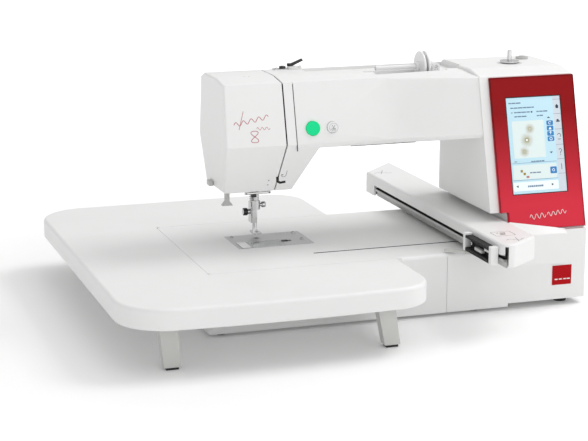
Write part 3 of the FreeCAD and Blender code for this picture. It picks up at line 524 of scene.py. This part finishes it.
def column_icons():
    """Simple signs down the right-hand column, from the house at its top."""
    def point(u, v):
        return (ICON_MIDDLE + u, v * SCREEN_H)

    icons = [[point(-2.6, 0.885), point(2.6, 0.885), point(0, 0.91)]]
    icons += [rect(*point(-1.7, 0.867), *point(1.7, 0.886))]
    icons += [rect(*point(-2.4, 0.725), *point(2.4, 0.737))]
    icons += [rect(*point(-1.6, 0.738), *point(1.0, 0.752))]
    icons += ribbon(arc(*point(0, 0.585), 2.2, -60, 170, 12), STROKE)
    icons += ribbon([point(-2, 0.545), point(2, 0.545)], STROKE)
    icons += ribbon(arc(*point(0, 0.43), 1.9, 170, -90, 12) + [point(0, 0.395)], STROKE)
    icons += [disc(*point(0, 0.382), 0.45)]
    icons += ribbon([point(0, 0.23), point(0, 0.29)], STROKE)
    return icons


def draw_marks():
    """The dark signs: dots, arrows and the column's icons."""
    marks = [disc(*spot(0.46, 0.843), 1.1), disc(*spot(0.10, 0.843), 0.7)]
    marks += [[spot(u, v) for u, v in arrow] for arrow in ARROWS]
    marks += [pane(0.07, 0.335, 0.12, 0.34)]
    shapes("screen_marks", screen, marks + column_icons(), SCREEN_INK, thick=0.18)


def draw_buttons():
    """Blue buttons with a white icon on each."""
    buttons = [pane(0.715, 0.53 + 0.055 * i, 0.835, 0.578 + 0.055 * i, BUTTON_CORNER)
               for i in range(4)]
    buttons += [pane(0.715, 0.195, 0.835, 0.265, BUTTON_CORNER)]
    shapes("screen_buttons", screen, buttons, SCREEN_BLUE, thick=0.16)
    icons = ring(*spot(0.775, 0.554), 1.7, 0.7) + ring(*spot(0.775, 0.23), 1.5, STROKE)
    icons += [pane(0.745, 0.619, 0.80, 0.624), pane(0.77, 0.60, 0.78, 0.64)]
    icons += [[spot(0.745, 0.65), spot(0.80, 0.65), spot(0.775, 0.68)]]
    icons += ribbon(arc(*spot(0.775, 0.719), 1.6, 20, 300, 14), STROKE)
    shapes("screen_icons", screen, icons, SCREEN_WHITE, thick=0.22)


def draw_pattern():
    """The embroidery pattern: three flowers of rays and dots, and its thread colours."""
    gold, rose, hearts = [], [], []
    for u_share, v_share, reach, count in FLOWERS:
        u, v = spot(u_share, v_share)
        for i in range(count):
            angle = 2 * math.pi * i / count
            gold += ribbon([polar(u, v, reach * k, angle) for k in (0.4, 0.86)], 0.5)
            rose.append(disc(*polar(u, v, reach, angle), 0.42, 8))
        gold.append(disc(u, v, 0.36 * reach))
        hearts.append(disc(u, v, 0.2 * reach))
    gold += [pane(0.17, 0.225, 0.21, 0.25), pane(0.22, 0.195, 0.26, 0.22)]
    rose += [pane(0.27, 0.165, 0.32, 0.185)]
    shapes("screen_stitches", screen, gold, SCREEN_GOLD, thick=0.18)
    shapes("screen_hearts", screen, hearts, SCREEN_WHITE, thick=0.22)
    shapes("screen_outer_stitches", screen, rose, SCREEN_ROSE, thick=0.18)


draw_panels()
draw_labels()
draw_marks()
draw_buttons()
draw_pattern()
seal = rect(-0.1, -0.1, SCREEN_W + 0.1, SCREEN_H + 0.1, 0.3)
shapes("screen_seal", screen, ribbon(seal, 1.1, closed=True), DARK, thick=0.3)


# ---------------------------------------------------------------- badge, panel and head
BADGE_STITCHES = (253, 259, 265, 270)
PANEL_OUTLINE = [(0.5, 23.3), (0.5, 190), (114, 190), (114, 0.6), (10.9, 0.6), (10.9, 23.3)]
SPLIT_X = -74.2               # the gap between the face cover and the casing, where a dark sheet paints its shade
SPLIT_LEAN = (-9 / 70, 0, 1)  # how that gap runs below the crease

base_low, _ = mm_box("base_shell")
front = facing_front(base_low.y)
shapes("front_badge", front, [rect(249.5, 26.5, 276, 51.5, 0.6)], BADGE, lift=0.1, thick=0.7)
shapes("front_badge_rim", front, [rect(248.7, 25.7, 276.8, 52.3, 0.9)], WHITE_GLOSS, thick=0.4)

# a thread that waves across the head and ties a bow: a plain ornament, no letters
face_low, _ = mm_box("face_cover")
head = Face((0, face_low.y, CREASE_Z), (1, 0, 0), HEAD_UP)
flourish = ribbon(wave(-140, 28, 44, 2.6, 4.5, rise=8), 0.75)
flourish += ribbon(wave(-112, 22, 17, 1.6, 3), 0.5)
flourish += ribbon(knot(-115, 12.5, 4.6, 7.0), 0.75, closed=True)
flourish += ribbon([(-134, 22), (-127, 44)], 0.6)
shapes("head_thread", head, flourish, PRINT_RED, thick=0.06)

bezel_low, _ = mm_box("panel_bezel")
bezel = Face((0, bezel_low.y, bezel_low.z), (1, 0, 0), PANEL_UP)
thread = ribbon(wave(219, 16, 22, 3.0, 3, rise=2), 0.6) + ribbon(wave(243, 18, 26, 2.6, 4, rise=3), 0.6)
shapes("panel_thread", bezel, thread, WHITE_GLOSS, lift=1.2, thick=0.1)
stitches = [rect(u, 33, u + 4, 34.4) for u in BADGE_STITCHES]
shapes("badge_stitches", front, stitches, WHITE_GLOSS, lift=0.8)
bezel_corner = Face(bezel_low, (1, 0, 0), PANEL_UP)
shapes("panel_outline", bezel_corner, ribbon(PANEL_OUTLINE, 0.8, closed=True), BEZEL_EDGE, lift=1.0)

# Painted shade: a dark strip sunk in the head's groove stands for the shade inside it.
shapes("head_groove_shade", head, ribbon([(-62, -8), (-62, 74)], 1.1), DARK, lift=-1.5, thick=0.3)
# Painted shade: dark sheets in the gap between the face cover and the casing stand for the shade inside
# it.
split_upper = ribbon([(57.5, 212), (39.5, 281), (8, 285)], 5.5)
shapes("split_gap_shade", facing_left(SPLIT_X), split_upper, DARK, thick=0.05)
split_slant = Face((SPLIT_X, 0, CREASE_Z), (0, -1, 0), SPLIT_LEAN)
shapes("split_gap_shade_low", split_slant, ribbon([(57, 1), (30.5, -59)], 5.0), DARK, thick=0.05)

# painted shade: dark sheets on the wall and edge of the slot in the bed that the arm's rails lie in
rail_low, rail_high = mm_box("x_rails")
slot_y = (rail_low.y + rail_high.y) / 2 + 1.3
shapes("bed_slot_shade", facing_front(slot_y), [rect(-46.4, 75.4, 184.8, 78.2)], DARK, thick=0.08)
shapes("bed_slot_top_shade", facing_up(BED_TOP_Z), [rect(-46.8, slot_y, 184, slot_y + 0.5)], DARK, thick=0.02)

# scissors in a ring on the thread-cutter button
CUTTER_RADIUS = 6.8
cutter_low, cutter_high = mm_box("cutter_button")
cutter_middle = (cutter_low + cutter_high) / 2
cutter_top = Vector((cutter_middle.x, cutter_low.y, cutter_high.z))
cutter_face = Face(cutter_top - Vector(PANEL_UP) * CUTTER_RADIUS, (1, 0, 0), PANEL_UP)
scissors = ribbon([(-1.8, 3.2), (0.9, -1.4)], 0.45) + ribbon([(1.8, 3.2), (-0.9, -1.4)], 0.45)
scissors += ring(1.5, -2.3, 1.1, 0.4, 18) + ring(-1.5, -2.3, 1.1, 0.4, 18)
shapes("cutter_mark", cutter_face, scissors, PRINT_GREY, "cutter_button", thick=0.06)
shapes("cutter_ring", cutter_face, ring(0, 0, 5.6, 0.25), PRINT_GREY, "cutter_button", thick=0.05)

# thread path on the head's undercut, and dots on the face cover
under = Face((0, face_low.y, CREASE_Z), (1, 0, 0), UNDERCUT_UP)
hook_line = [(-81.5, -46), (-80.5, -53), (-77, -55.5), (-70, -54.5)]
# Painted shade: a dark strip stands for the shade inside the thread's slot.
shapes("thread_slot_shade", under, ribbon(hook_line, 3.6), DARK, thick=0.05)
loop_mark = ribbon(arc(-73.5, -44, 3.0, 150, 370, 14) + [(-69.8, -38)], 0.6)
shapes("thread_mark", under, loop_mark + [disc(-75, -43.6, 0.8)], PRINT_GREY, thick=0.05)
shapes("cover_dots", under, [disc(-92, -51, 0.9), disc(-92.4, -57.5, 0.8)], PRINT_GREY, thick=0.05)
top_dots = [disc(-112, -6, 0.8), disc(-106, -6, 0.8)]
shapes("cover_top_dots", facing_up(HEAD_TOP_Z), top_dots, PRINT_GREY, thick=0.05)


# ---------------------------------------------------------------- stitch plate and needle area
SCALE_PLACES = range(-60, -32, 5)
SCALE_WIDTH = 0.35
SCALE_ROWS = ((-30, -26.5), (26, 34))
PLATE_SCREWS = ((-119, 31), (-37, -4), (-37, 31))

_, plate_high = mm_box("stitch_plate")
plate_top = facing_up(plate_high.z)
scale = [rect(u, low, u + SCALE_WIDTH, high) for low, high in SCALE_ROWS for u in SCALE_PLACES]
shapes("plate_scale", plate_top, scale, PRINT_GREY, thick=0.03)
shapes("needle_ring", plate_top, ring(NEEDLE_X, NEEDLE_Y, 3.4, 0.5), DARK, thick=0.03)
for i, (x, y) in enumerate(PLATE_SCREWS):
    screw(f"plate_screw_{i}", (x, y, plate_high.z), (0, 0, 1), 2.6)
_, cover_high = mm_box("hook_cover")
cover_top = facing_up(cover_high.z)
cover_grip = [rect(-121.5, -27.5, -110, 2.5, 1)]
shapes("hook_cover_grip", cover_top, cover_grip, WHITE_GLOSS, "hook_cover", thick=0.1)
cover_rim = ribbon(rect(-121.2, -27.2, -67.3, 2.2, 2), 0.8, closed=True)
shapes("hook_cover_rim", cover_top, cover_rim, WHITE_GLOSS, "hook_cover", thick=0.12)

_, clamp_high = mm_box("needle_clamp")
clamp_profile = [(1.2, 0), (3.6, 0.2), (3.8, 0.8), (3.8, 4.2), (3.4, 4.8), (1.5, 5.0)]
lathe("clamp_knob", (clamp_high.x - 4.2, NEEDLE_Y, 121.5), (1, 0, 0), clamp_profile, STEEL,
      "needle_bar", count=18)
foot_low, _ = mm_box("embroidery_foot")
foot_profile = [(2.5, 0), (4.6, 0.2), (4.8, 1.0), (4.8, 5.0), (4.2, 5.4), (1, 5.4)]
lathe("foot_screw_knob", (foot_low.x + 5.5, 33, 110), (-1, 0, 0), foot_profile, BLACK,
      "presser", count=20)

block("guide_plate", (-121, 3, 147.6), (-66, 11, 150.2), 0.5, BLACK)
block("threader_bracket", (-107, 10.5, 136.6), (-73, 13.6, 139.4), 0.6, STEEL)
block("threader_arm", (-76.5, 10.5, 136.8), (-73.5, 13.6, 148.5), 0.6, STEEL)
block("threader_arm_left", (-106.5, 10.5, 136.8), (-103.5, 13.6, 148.5), 0.6, STEEL)
block("threader_tip", (-99, 9.6, 133), (-92, 12.4, 137), 0.6, BLACK)
spring("foot_spring", (NEEDLE_X, 34), 4.0, 123, 140, turns=7, wire=0.5, body="presser")


# ---------------------------------------------------------------- embroidery arm and carriage
ARM = "embroidery_arm"
ARM_SLOT_FLOOR_Z = 94.2
ARM_SLOT_WALL_X = 136.6
DOCK_ENDS = ((-226.4, -219.8), (-152.2, -145.6))
DOCK_MARGIN = 0.4

_, arm_high = mm_box("arm_housing")
arm_top = facing_up(arm_high.z)
dock_low, dock_high = mm_box("hoop_carriage")


def draw_arm_marks():
    """A hoop and two sprigs of thread, printed on the arm."""
    hoop = ribbon(rect(143, -196, 168, -176, 2), 0.6, closed=True)
    hoop += [rect(151, -190, 158, -187), rect(153, -184, 160, -181.5), rect(149, -183, 151, -181)]
    front_sprig = ribbon([(146 + 0.5 * i, -217 + 3.2 * math.sin(0.16 * i)) for i in range(50)], 0.6)
    front_sprig += ribbon([(158, -226), (162, -207)], 0.6)
    back_sprig = ribbon([(138 + 0.7 * i, 196 + 4 * math.sin(0.14 * i)) for i in range(36)], 0.6)
    back_sprig += ribbon([(146, 190), (156, 212)], 0.6)
    shapes("arm_hoop_mark", arm_top, hoop, BLACK, ARM, thick=0.04)
    shapes("arm_sprig_front", arm_top, front_sprig, BLACK, ARM, thick=0.04)
    shapes("arm_sprig_back", arm_top, back_sprig, BLACK, ARM, thick=0.04)


draw_arm_marks()
# Painted shade in the arm's slot: dark sheets on its floor, under its top edge and on its inner wall
# hide the lit inside.
slot_floor = [rect(133.1, -237.5, 137.9, 178.5)]
shapes("arm_slot_base_shade", facing_up(ARM_SLOT_FLOOR_Z), slot_floor, DARK, ARM, thick=0.3)
block("arm_slot_top_shade", (132.3, -239.5, 97.7), (135.8, 180.5, 98.6), 0.2, DARK, ARM)
slot_side_shade = [rect(-178, 94.3, 236, 98.3)]
shapes("arm_slot_side_shade", facing_left(ARM_SLOT_WALL_X), slot_side_shade, DARK, ARM, thick=0.05)
for i, (near, far) in enumerate(DOCK_ENDS):
    block(f"dock_end_{i}", (dock_low.x - DOCK_MARGIN, near, dock_low.z - DOCK_MARGIN),
          (131.6, far, dock_high.z + DOCK_MARGIN), 0.8, WHITE, "carriage")
block("dock_latch", (dock_low.x + 1.2, -196, 92), (128.4, -176, 96), 0.8, GREY, "carriage")
block("dock_catch", (dock_low.x + 2.0, -214, 97), (128.4, -202, 100.5), 0.6, STEEL, "carriage")
screw("dock_screw", (127, -160, 96), (-1, 0, 0), 2.4, "carriage")


# ---------------------------------------------------------------- lamp, top and handwheel
WHEEL_X = 312
GRIP_COUNT = 60
GRIP_RADIUS = 33.0
GRIP_SIZE = Vector((9, 1.0, 0.9))

# Painted shadow: a thin black bar under the arm stands for the shadow line of the work lamp's housing.
block("lamp_shadow_line", (10, -54, 203.2), (96, -52.1, 205.2), 0.3, BLACK)
block("guide_plate_top", (-60, 34, 288.3), (-31, 46, 289.6), 0.5, STEEL)
lathe("guide_knob", (-48, 40, 289.4), (0, 0, 1), [(4.2, 0), (4.2, 2.6), (3.6, 3.2)], BLACK)
screw("guide_screw", (-56, 40, 289.5), (0, 0, 1), 2.2)
wheel_low, wheel_high = mm_box("handwheel")
wheel_y = (wheel_low.y + wheel_high.y) / 2
wheel_z = (wheel_low.z + wheel_high.z) / 2


def wheel_grips():
    """Ribs all round the handwheel's rim."""
    mesh = bmesh.new()
    for i in range(GRIP_COUNT):
        angle = 2 * math.pi * i / GRIP_COUNT
        turn = Matrix.Translation(Vector((0, wheel_y, wheel_z)) * MM) @ Matrix.Rotation(angle, 4, "X")
        for vertex in bmesh.ops.create_cube(mesh, size=1.0)["verts"]:
            along, across, out = vertex.co * GRIP_SIZE
            vertex.co = turn @ (Vector((WHEEL_X + along, across, GRIP_RADIUS + out)) * MM)
    finished("handwheel_grip", mesh, WHITE_GLOSS, "main_shaft", smooth=False)


wheel_grips()
cap_profile = [(9.5, 0), (9.5, 7), (8.6, 8.4), (5, 9), (0.8, 9.1)]
lathe("handwheel_cap", (WHEEL_X, wheel_y, wheel_z), (1, 0, 0), cap_profile, GREY, "main_shaft")
winder_marks = ring(238, -18, 15.5, 0.4) + ribbon([(252, -6), (262, 2)], 0.5)
shapes("winder_marks", facing_up(WINDER_TOP_Z), winder_marks, PRINT_GREY, thick=0.04)


# ---------------------------------------------------------------- sides, back and underside
BACK_SCREWS = ((270, 262), (200, 110), (270, 110), (20, 262), (-60, 262), (120, 215))
PAN_SCREWS = ((-150, -100), (-150, 80), (60, -100), (60, 80), (170, -60))
# how far the middle of each leg's rubber pad is from the leg's left end
LEG_PADS = {"leg_front_left": 15.5, "leg_front_right": 20, "leg_back_left": 15.5, "leg_back_right": 20}
PAD_HALF_X, PAD_HALF_Y, PAD_HEIGHT = 7.4, 6.4, 3.4

column_side = facing_right(COLUMN_SIDE_X)
# Painted shade: flat dark shapes stand for the shade inside the side vents.
side_vents = [rect(-96 + 0.2 * z, z, -40, z + 2.2, 1.0) for z in range(112, 148, 6)]
shapes("side_vents", column_side, side_vents, DARK, thick=0.03)
# Painted shade: flat dark shapes stand for the shade inside the back vents.
back_vents = [rect(-280, z, -215, z + 2.4, 1.1) for z in range(120, 180, 7)]
shapes("back_vents", facing_back(COLUMN_BACK_Y), back_vents, DARK, thick=0.03)
for i, (x, z) in enumerate(BACK_SCREWS):
    screw(f"back_screw_{i}", (x, COLUMN_BACK_Y, z), (0, 1, 0), 3.0, material=BLACK)
switch_marks = ring(28.5, 25, 1.5, 0.4, 20) + [rect(39.5, 23.4, 40, 26.6)]
shapes("switch_marks", column_side, switch_marks, PRINT_GREY, thick=0.04)
pan_low, _ = mm_box("base_pan")
# Painted shade: flat dark shapes stand for the shade inside the vents underneath.
pan_vents = [rect(u, -40, u + 3, 40, 1.4) for u in range(-60, 150, 9)]
shapes("pan_vents", facing_down(pan_low.z), pan_vents, DARK, thick=0.03)
for i, (x, y) in enumerate(PAN_SCREWS):
    screw(f"pan_screw_{i}", (x, y, pan_low.z), (0, 0, -1), 3.2, material=BLACK)
for name, shift in LEG_PADS.items():
    low, high = mm_box(name)
    x, y = low.x + shift, (low.y + high.y) / 2
    block(name + "_pad", (x - PAD_HALF_X, y - PAD_HALF_Y, 0),
          (x + PAD_HALF_X, y + PAD_HALF_Y, PAD_HEIGHT), 0.8, RUBBER, name)


# ---------------------------------------------------------------- stage, light and camera, in metres
FLOOR_SIZE = 24.0
GLOW_NEAR, GLOW_FAR = 0.45, 1.5    # distances between which the floor's own light rises
WORLD_STRENGTH = 0.67


def floor_material():
    """White paper with painted light: its own glow rises away from the object, as a lit studio sweep
    brightens.
    """
    material = surface("floor", (0.9, 0.9, 0.9), 0.6, grain=200.0, bump=0.0, mottle=0.0,
                       Emission_Color=(1, 1, 1, 1))
    tree = material.node_tree
    place = tree.nodes.new("ShaderNodeTexCoord")
    distance = tree.nodes.new("ShaderNodeVectorMath")
    distance.operation = "LENGTH"
    glow = node_of(tree, "ShaderNodeMapRange", From_Min=GLOW_NEAR, From_Max=GLOW_FAR,
                   To_Min=0.08, To_Max=0.5)
    tree.links.new(place.outputs["Object"], distance.inputs[0])
    tree.links.new(distance.outputs["Value"], glow.inputs["Value"])
    shader = tree.nodes["Principled BSDF"]
    tree.links.new(glow.outputs["Result"], shader.inputs["Emission Strength"])
    return material


def plane_object(name, size, material):
    """A square sheet on the ground, centred on the object."""
    mesh = bmesh.new()
    bmesh.ops.create_grid(mesh, x_segments=1, y_segments=1, size=size / 2)
    data = bpy.data.meshes.new(name)
    mesh.to_mesh(data)
    mesh.free()
    data.materials.append(material)
    piece = bpy.data.objects.new(name, data)
    bpy.context.scene.collection.objects.link(piece)
    return piece


def area_light(name, location, target, size, power):
    """A rectangular soft light that points at a target."""
    light = bpy.data.lights.new(name, "AREA")
    light.shape = "RECTANGLE"
    light.size, light.size_y = size
    light.energy = power
    lamp = bpy.data.objects.new(name, light)
    lamp.location = location
    aim = Vector(target) - Vector(location)
    lamp.rotation_euler = aim.to_track_quat("-Z", "Y").to_euler()
    bpy.context.scene.collection.objects.link(lamp)


plane_object("floor", FLOOR_SIZE, floor_material())
world = bpy.data.worlds.new("studio")
world.use_nodes = True
set_inputs(world.node_tree.nodes["Background"], {"Color": (1, 1, 1, 1), "Strength": WORLD_STRENGTH})
bpy.context.scene.world = world
area_light("key", (1.7, 0.1, 2.2), (0, 0, 0.1), (1.1, 1.1), 27)
area_light("overhead", (0.3, -0.2, 2.4), (-0.1, 0, 0.1), (2.2, 2.0), 10)
area_light("front_fill", (0.6, -2.4, 0.8), (0, 0, 0.15), (2.0, 1.4), 7)
bpy.context.scene.view_settings.view_transform = "Standard"

camera = bpy.data.cameras.new("camera")
camera.lens = 107.14
camera.sensor_width = 36
viewer = bpy.data.objects.new("camera", camera)
viewer.location = (-0.7277, -2.0378, 0.6058)
viewer.rotation_euler = (math.radians(76.8), 0, math.radians(-18.5))
bpy.context.scene.collection.objects.link(viewer)
bpy.context.scene.camera = viewer
